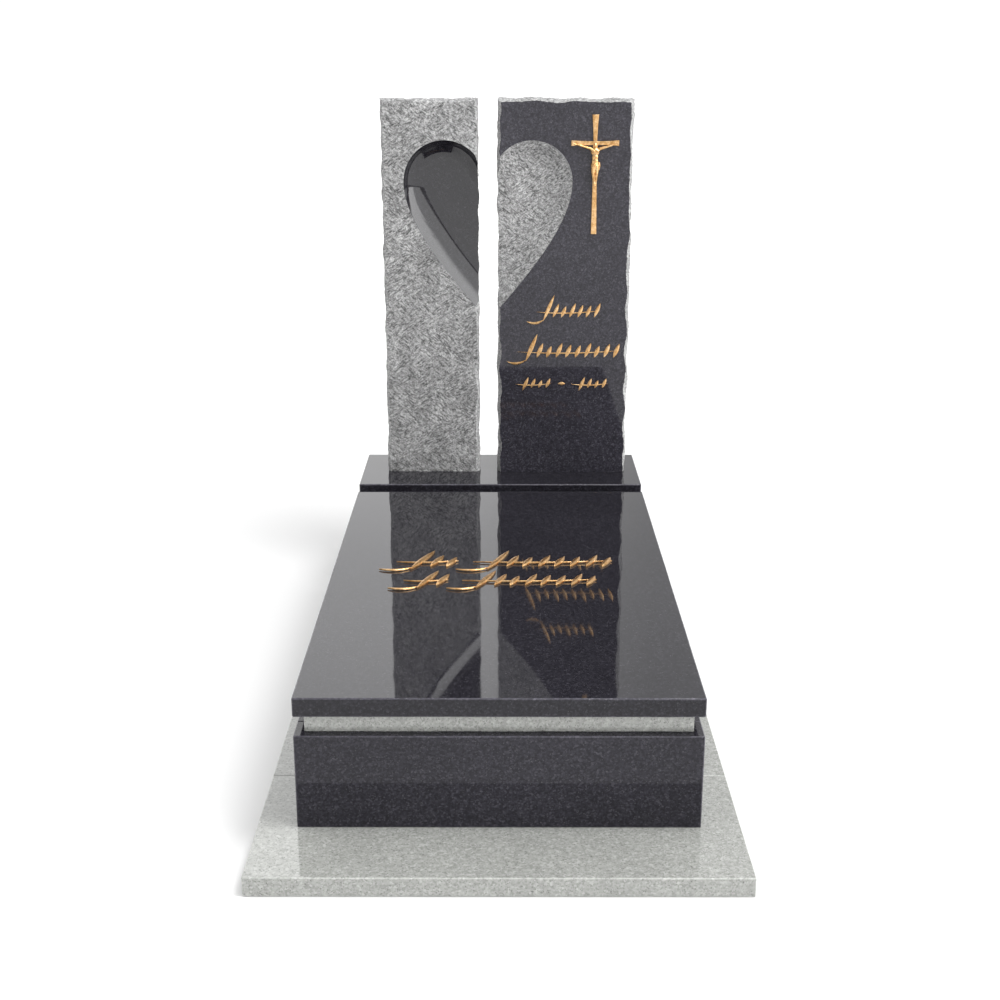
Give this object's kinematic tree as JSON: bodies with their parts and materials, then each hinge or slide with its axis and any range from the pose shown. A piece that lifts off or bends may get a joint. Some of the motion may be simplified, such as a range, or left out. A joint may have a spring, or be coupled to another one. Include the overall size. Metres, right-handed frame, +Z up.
{
  "type": "heart headstone",
  "caption": "Kerbed grave monument of stone slabs with two upright steles that share one hollow heart, a crucifix and rows of raised strokes.",
  "frame": {"origin": "on the ground, in the middle of the plinth's outline", "axes": "+Z up, +Y towards the head end where the steles stand, +X to the right seen from the foot end"},
  "size_m": [1.2, 2.425, 1.734],
  "materials": {
    "dark_granite": "polished",
    "light_granite": "fine honed",
    "split_granite": "split rough",
    "gold_bronze": "satin"
  },
  "bodies": {
    "root": {"plinth_front": "light_granite", "plinth_left": "light_granite", "plinth_right": "light_granite", "plinth_back": "light_granite", "kerb_front": "dark_granite", "kerb_left": "dark_granite", "kerb_right": "dark_granite", "kerb_back": "dark_granite", "band_front": "light_granite", "band_left": "light_granite", "band_right": "light_granite", "band_back": "light_granite", "cover_slab": "dark_granite", "headstone_base": "dark_granite", "left_stele": "split_granite", "right_stele": "dark_granite", "crucifix": "gold_bronze", "cover_strokes_foot_1": "gold_bronze", "cover_strokes_foot_2": "gold_bronze", "cover_strokes_head_1": "gold_bronze", "cover_strokes_head_2": "gold_bronze", "stele_strokes_lower_1": "gold_bronze", "stele_strokes_lower_2": "gold_bronze", "stele_strokes_lower_3": "gold_bronze", "stele_strokes_middle_1": "gold_bronze", "stele_strokes_upper_1": "gold_bronze"}
  },
  "joints": []
}
